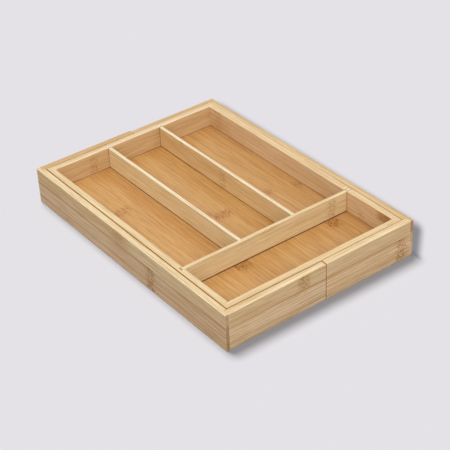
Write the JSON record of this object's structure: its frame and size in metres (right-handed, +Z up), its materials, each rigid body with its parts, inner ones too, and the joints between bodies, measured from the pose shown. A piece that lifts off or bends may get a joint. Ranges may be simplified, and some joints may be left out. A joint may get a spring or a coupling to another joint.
{
  "type": "expandable cutlery tray",
  "caption": "Bamboo drawer tray with open bays for cutlery between two sleeves that pull out sideways on slotted end walls and open a further bay on each side.",
  "frame": {"origin": "middle of the closed tray, on the surface that it stands on", "axes": "+Z up, +Y along the tray's length from the front bay to the long bays, +X across its width, the way the right sleeve slides"},
  "size_m": [0.306, 0.43, 0.0552],
  "materials": {
    "centre_walls": "pressed bamboo, sanded, satin clear coat",
    "sleeve_walls": "pressed bamboo, sanded, satin clear coat",
    "dividers": "pressed bamboo, sanded, satin clear coat",
    "floor_panel": "steamed pressed bamboo panel, satin clear coat",
    "sleeve_panels": "steamed pressed bamboo panel, satin clear coat",
    "guide_strips": "pressed bamboo, waxed"
  },
  "bodies": {
    "tray": {"centre_left_wall": "centre_walls", "centre_right_wall": "centre_walls", "centre_front_wall": "centre_walls", "centre_back_wall": "centre_walls", "centre_base": "floor_panel", "cross_divider": "dividers", "long_divider_left": "dividers", "long_divider_right": "dividers", "guide_front_left": "guide_strips", "guide_front_right": "guide_strips", "guide_back_left": "guide_strips", "guide_back_right": "guide_strips"},
    "left_sleeve": {"left_sleeve_side_wall": "sleeve_walls", "left_sleeve_front_wall": "sleeve_walls", "left_sleeve_back_wall": "sleeve_walls", "left_sleeve_base": "sleeve_panels"},
    "right_sleeve": {"right_sleeve_side_wall": "sleeve_walls", "right_sleeve_front_wall": "sleeve_walls", "right_sleeve_back_wall": "sleeve_walls", "right_sleeve_base": "sleeve_panels"}
  },
  "joints": [
    {"name": "left_sleeve_slide", "type": "slide", "parent": "tray", "child": "left_sleeve", "axis": [-1, 0, 0], "range_m": [0, 0.085]},
    {"name": "right_sleeve_slide", "type": "slide", "parent": "tray", "child": "right_sleeve", "axis": [1, 0, 0], "range_m": [0, 0.085]}
  ]
}
